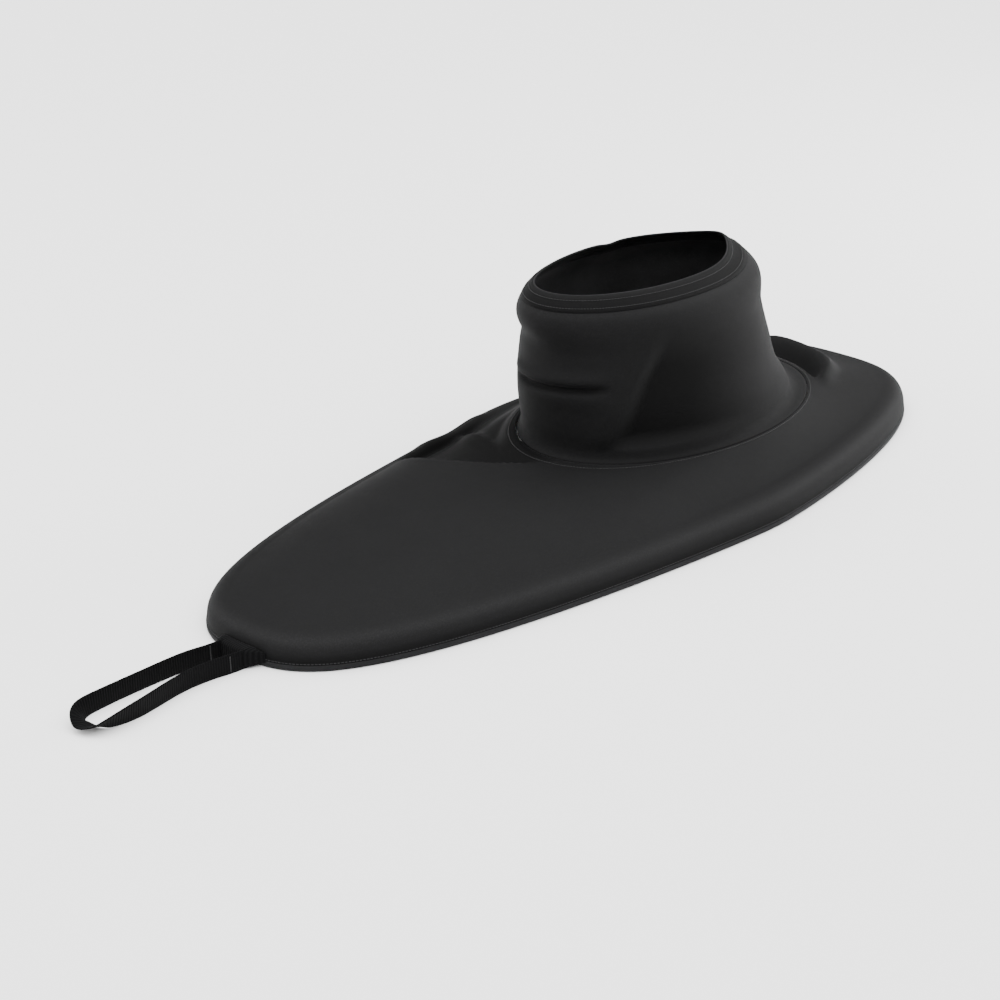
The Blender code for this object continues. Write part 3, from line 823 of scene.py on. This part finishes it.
def build_anchor():
    """The folded webbing sewn to the nose: a flap that follows the hem and closes over the strap's root."""
    y = np.linspace(ANCHOR_STARBOARD, ANCHOR_PORT, 44)
    front = RIM_X < -0.4
    order = np.argsort(RIM_Y[front])
    nose = np.interp(y, RIM_Y[front][order], RIM_X[front][order])
    window = smooth((y - ANCHOR_STARBOARD) / 0.026) * smooth((ANCHOR_PORT - y) / 0.020)
    depth = ANCHOR_EDGE + (nose - ANCHOR_TIP_X - ANCHOR_EDGE) * window
    under = [(0.0, 0.0040), (0.25, 0.0012), (0.60, 0.0010), (0.88, 0.0030), (0.98, 0.0080), (1.00, 0.0150)]
    over = [(1.00, 0.0270), (0.97, 0.0325), (0.86, 0.0362), (0.60, 0.0375), (0.25, 0.0368), (0.0, 0.0345)]
    rows = []
    for out, level in under + over:
        step = np.maximum(0.0022, depth * out)
        squeeze = ANCHOR_MIDDLE_Z + (level - ANCHOR_MIDDLE_Z) * (0.55 + 0.45 * window)
        rows.append(np.stack([nose - step, y, squeeze], axis=-1))
    anchor = swept_strip("strap_fold", np.stack(rows), WEBBING_FINISH)
    corner = np.zeros(len(anchor.data.loops), np.int32)
    anchor.data.loops.foreach_get("vertex_index", corner)
    corner_uv(anchor, y[corner % len(y)], 0.0 * corner)
    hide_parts("strap_anchor")
    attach(anchor, "root")


# ---------------------------------------------------------------- kept frame pieces, floor, light, camera

def finish_frame_pieces():
    """The finish of the cord's sleeve, which stays as the frame has it."""
    for slot in bpy.data.objects["rim_cord_sleeve"].material_slots:
        slot.material = RUBBER_FINISH


def build_floor():
    """A plain pale floor."""
    mesh = bpy.data.meshes.new("floor")
    side = 300.0
    corners = [(-side, -side, 0.0), (side, -side, 0.0), (side, side, 0.0), (-side, side, 0.0)]
    mesh.from_pydata(corners, [], [(0, 1, 2, 3)])
    mesh.update()
    floor = bpy.data.objects.new("floor", mesh)
    bpy.context.collection.objects.link(floor)
    mat, _, _, shader, _ = new_finish("pale_floor")
    shader.inputs["Base Color"].default_value = (0.92, 0.92, 0.92, 1.0)
    shader.inputs["Roughness"].default_value = 0.9
    mesh.materials.append(mat)


def aim(obj, place, target):
    """Stand obj at place with its -Z axis at the target and +Y as near up as it goes."""
    back = (Vector(place) - Vector(target)).normalized()
    right = Vector((0.0, 0.0, 1.0)).cross(back).normalized()
    up = back.cross(right)
    turn = Matrix((right, up, back)).transposed().to_4x4()
    obj.matrix_world = Matrix.Translation(Vector(place)) @ turn


def area_light(name, place, target, size, power):
    """A rectangular soft light."""
    data = bpy.data.lights.new(name, "AREA")
    data.shape = "RECTANGLE"
    data.size, data.size_y = size
    data.energy = power
    lamp = bpy.data.objects.new(name, data)
    bpy.context.collection.objects.link(lamp)
    aim(lamp, place, target)


def build_studio():
    """Soft light from above and from both sides of the camera, and the camera itself."""
    world = bpy.data.worlds.new("studio")
    world.use_nodes = True
    nodes, links = world.node_tree.nodes, world.node_tree.links
    nodes["Background"].inputs["Color"].default_value = (1.0, 1.0, 1.0, 1.0)
    coords = nodes.new("ShaderNodeTexCoord")
    facing = nodes.new("ShaderNodeVectorMath")
    facing.operation = "DOT_PRODUCT"
    facing.inputs[1].default_value = (-0.120, -0.110, 0.987)
    links.new(coords.outputs["Generated"], facing.inputs[0])
    glow = nodes.new("ShaderNodeMapRange")
    glow.interpolation_type = "SMOOTHSTEP"
    glow.inputs["From Min"].default_value = 0.28
    glow.inputs["From Max"].default_value = 1.00
    glow.inputs["To Min"].default_value = 0.10
    glow.inputs["To Max"].default_value = 5.60
    links.new(facing.outputs["Value"], glow.inputs["Value"])
    links.new(glow.outputs["Result"], nodes["Background"].inputs["Strength"])
    bpy.context.scene.world = world
    area_light("stern_side", (4.3, -1.4, 1.3), (0.5, 0.0, 0.25), (1.4, 1.4), 140.0)
    area_light("bow_side", (-3.0, 3.1, 1.3), (0.1, 0.0, 0.25), (1.4, 1.4), 62.0)
    turn, tilt, far = math.radians(-47.691), math.radians(24.129), 4.1206
    target = Vector((0.0270, 0.1109, 0.0))
    back = Vector((math.sin(turn) * math.cos(tilt), -math.cos(turn) * math.cos(tilt), math.sin(tilt)))
    data = bpy.data.cameras.new("camera")
    data.lens = 72.0
    data.sensor_width = 36.0
    camera = bpy.data.objects.new("camera", data)
    bpy.context.collection.objects.link(camera)
    aim(camera, target + back * far, target)
    bpy.context.scene.camera = camera


build_studio()
build_floor()
build_deck()
build_hem()
build_tunnel()
build_strap()
build_anchor()
finish_frame_pieces()
